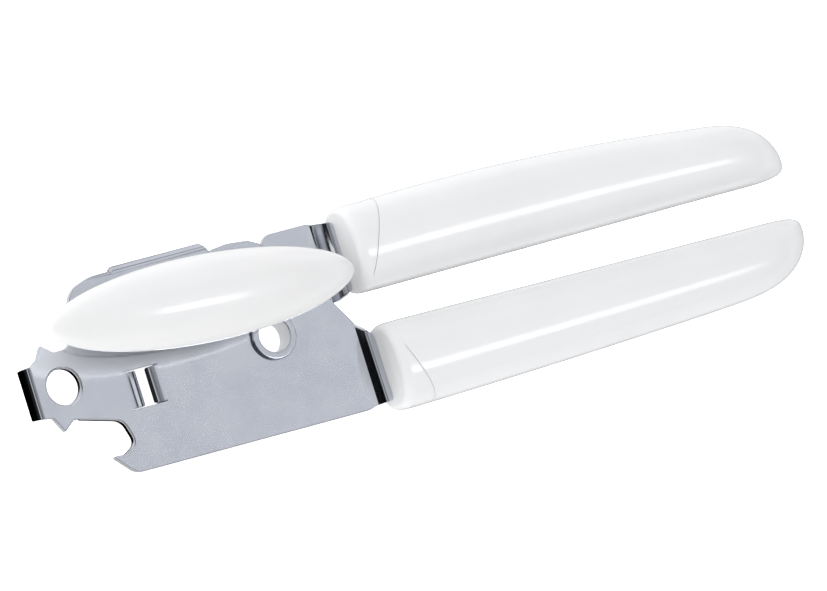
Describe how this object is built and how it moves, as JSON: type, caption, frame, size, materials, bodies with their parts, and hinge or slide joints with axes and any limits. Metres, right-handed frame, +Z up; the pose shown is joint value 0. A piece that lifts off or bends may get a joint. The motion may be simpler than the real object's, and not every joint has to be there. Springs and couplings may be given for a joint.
{
  "type": "manual can opener",
  "caption": "Plier-type manual can opener: crossed chromed steel arms on a hollow pivot, white moulded grips, wing knob, feed wheel, cutter wheel, crown-cap lifter and hanging hole.",
  "frame": {"origin": "middle of the underside of the whole tool's box, lying flat with the knob on top and the handles closed", "axes": "+X along the handles, away from the head; +Y across the tool, towards the upper handle; +Z up, towards the knob"},
  "size_m": [0.2056, 0.0504, 0.0334],
  "materials": {
    "chrome_plate": "chrome-plated pressed steel",
    "zinc_steel": "zinc-plated turned or stamped steel",
    "hardened_steel": "hardened and ground steel",
    "bronze": "sintered bearing bronze",
    "white_plastic": "glossy moulded plastic"
  },
  "bodies": {
    "front_frame": {"front_plate": "chrome_plate", "pivot_rivet": "chrome_plate", "pivot_washer": "zinc_steel", "shaft_bushing": "bronze", "lower_collar": "white_plastic", "lower_grip": "white_plastic"},
    "rear_frame": {"rear_arm": "chrome_plate", "cutter_stud": "zinc_steel", "cutter_spacer": "zinc_steel", "cutter_washer": "zinc_steel", "upper_collar": "white_plastic", "upper_grip": "white_plastic"},
    "knob_drive": {"drive_shaft": "zinc_steel", "thrust_washer": "zinc_steel", "knob_shell": "white_plastic", "knob_base": "white_plastic", "knob_key": "zinc_steel", "feed_washer": "zinc_steel", "feed_wheel": "hardened_steel", "feed_nut": "zinc_steel"},
    "cutter": {"cutter_wheel": "hardened_steel"}
  },
  "joints": [
    {"name": "handle_pivot", "type": "hinge", "parent": "front_frame", "child": "rear_frame", "pos_m": [-0.03783, -0.0003, 0.0114], "axis": [0, 0, 1], "range_deg": [0, 44]},
    {"name": "knob_turn", "type": "hinge", "parent": "front_frame", "child": "knob_drive", "pos_m": [-0.06083, 0.011, 0.0114], "axis": [0, 0, 1], "continuous": true},
    {"name": "cutter_spin", "type": "hinge", "parent": "rear_frame", "child": "cutter", "pos_m": [-0.05943, -0.00494, 0.003], "axis": [0, 0, 1], "continuous": true}
  ]
}
